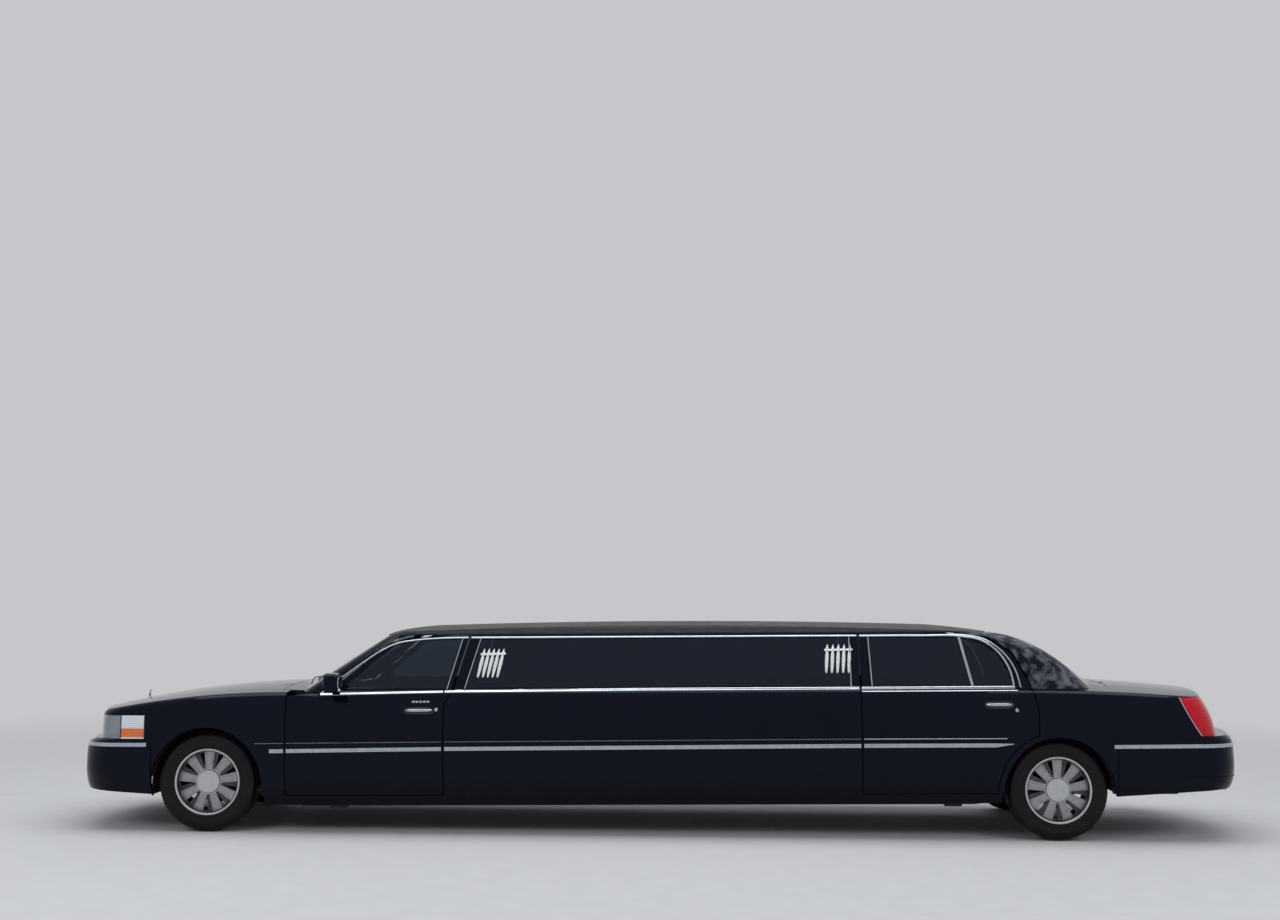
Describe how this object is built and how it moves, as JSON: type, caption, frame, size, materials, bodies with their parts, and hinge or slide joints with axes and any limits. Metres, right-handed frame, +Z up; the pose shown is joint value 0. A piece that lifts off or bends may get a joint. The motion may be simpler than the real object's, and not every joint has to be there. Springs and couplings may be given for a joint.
{
  "type": "stretch limousine",
  "caption": "Long three-box saloon car stretched between the axles, with hinged doors, bonnet and boot lid, steered front wheels and turning wheels.",
  "frame": {"origin": "middle of the bounding box in plan, on the ground plane under the tyres", "axes": "front of the car towards -X, its left side towards -Y, +Z up"},
  "size_m": [8.4986, 2.37, 1.5088],
  "materials": {
    "black_paint": "gloss black lacquer",
    "vinyl_black": "grained black",
    "tinted_glass": "dark tint",
    "screen_glass": "light tint",
    "chrome": "polished",
    "lamp_clear": "clear lens",
    "lamp_red": "red lens",
    "rubber_tyre": "matt",
    "alloy": "satin",
    "steel_black": "chassis black",
    "iron": "plain",
    "steel": "plain",
    "carpet": "dark carpet",
    "leather_black": "black hide",
    "trim_dark": "dark grain",
    "wood_dark": "dark veneer"
  },
  "bodies": {
    "body": {"a_pillars": "black_paint", "bar_cabinet": "wood_dark", "cabin_seats": "leather_black", "chassis_frame": "steel_black", "cowl": "black_paint", "dashboard": "trim_dark", "engine": "iron", "exhaust": "steel", "floor_pan": "carpet", "front_bumper": "black_paint", "front_fenders": "black_paint", "front_seats": "leather_black", "front_suspension": "steel_black", "fuel_tank": "steel_black", "grille": "chrome", "headlamps": "lamp_clear", "long_glass": "tinted_glass", "parcel_shelf": "black_paint", "partition": "trim_dark", "quarter_panels": "black_paint", "radiator": "steel_black", "rear_axle": "iron", "rear_bumper": "black_paint", "rear_panel": "black_paint", "rear_window": "tinted_glass", "rockers": "black_paint", "roof": "black_paint", "side_panels": "black_paint", "steering_wheel": "trim_dark", "tail_lamps": "lamp_red", "wheelhouses": "trim_dark", "windshield": "screen_glass"},
    "bonnet": {"bonnet": "black_paint"},
    "boot_lid": {"boot_lid": "black_paint"},
    "front_door_left": {"front_door_left": "black_paint", "front_glass_left": "tinted_glass", "mirror_left": "black_paint"},
    "front_door_right": {"front_door_right": "black_paint", "front_glass_right": "tinted_glass", "mirror_right": "black_paint"},
    "rear_door_left": {"rear_door_left": "black_paint", "rear_glass_left": "tinted_glass"},
    "rear_door_right": {"rear_door_right": "black_paint", "rear_glass_right": "tinted_glass"},
    "knuckle_left": {"knuckle_left": "iron"},
    "knuckle_right": {"knuckle_right": "iron"},
    "wheel_front_left": {"rim_front_left": "alloy", "tyre_front_left": "rubber_tyre"},
    "wheel_front_right": {"rim_front_right": "alloy", "tyre_front_right": "rubber_tyre"},
    "wheel_rear_left": {"rim_rear_left": "alloy", "tyre_rear_left": "rubber_tyre"},
    "wheel_rear_right": {"rim_rear_right": "alloy", "tyre_rear_right": "rubber_tyre"}
  },
  "joints": [
    {"name": "front_door_left_hinge", "type": "hinge", "parent": "body", "child": "front_door_left", "pos_m": [-2.57143, -0.969, 0.61765], "axis": [0.0126, 0, -0.9999], "range_deg": [0, 65]},
    {"name": "front_door_right_hinge", "type": "hinge", "parent": "body", "child": "front_door_right", "pos_m": [-2.57143, 0.969, 0.61765], "axis": [-0.0126, 0, 0.9999], "range_deg": [0, 65]},
    {"name": "rear_door_left_hinge", "type": "hinge", "parent": "body", "child": "rear_door_left", "pos_m": [1.51525, -0.969, 0.66901], "axis": [0.0126, 0, -0.9999], "range_deg": [0, 68]},
    {"name": "rear_door_right_hinge", "type": "hinge", "parent": "body", "child": "rear_door_right", "pos_m": [1.51525, 0.969, 0.66901], "axis": [-0.0126, 0, 0.9999], "range_deg": [0, 68]},
    {"name": "bonnet_hinge", "type": "hinge", "parent": "body", "child": "bonnet", "pos_m": [-2.64634, 0, 1.00774], "axis": [0, 1, 0], "range_deg": [0, 50]},
    {"name": "boot_lid_hinge", "type": "hinge", "parent": "body", "child": "boot_lid", "pos_m": [3.22729, 0, 1.07456], "axis": [0, -1, 0], "range_deg": [0, 70]},
    {"name": "steer_left", "type": "hinge", "parent": "body", "child": "knuckle_left", "pos_m": [-3.199, -0.77, 0.351], "axis": [0, 0, 1], "range_deg": [-35, 35]},
    {"name": "steer_right", "type": "hinge", "parent": "body", "child": "knuckle_right", "pos_m": [-3.199, 0.77, 0.351], "axis": [0, 0, 1], "range_deg": [-35, 35]},
    {"name": "wheel_spin_front_left", "type": "hinge", "parent": "knuckle_left", "child": "wheel_front_left", "pos_m": [-3.199, -0.798, 0.351], "axis": [0, 1, 0], "continuous": true},
    {"name": "wheel_spin_rear_left", "type": "hinge", "parent": "body", "child": "wheel_rear_left", "pos_m": [2.839, -0.798, 0.351], "axis": [0, 1, 0], "continuous": true},
    {"name": "wheel_spin_front_right", "type": "hinge", "parent": "knuckle_right", "child": "wheel_front_right", "pos_m": [-3.199, 0.798, 0.351], "axis": [0, 1, 0], "continuous": true},
    {"name": "wheel_spin_rear_right", "type": "hinge", "parent": "body", "child": "wheel_rear_right", "pos_m": [2.839, 0.798, 0.351], "axis": [0, 1, 0], "continuous": true}
  ],
  "couplings": [
    {"joint": "steer_right", "follows": "steer_left", "ratio": 1}
  ]
}
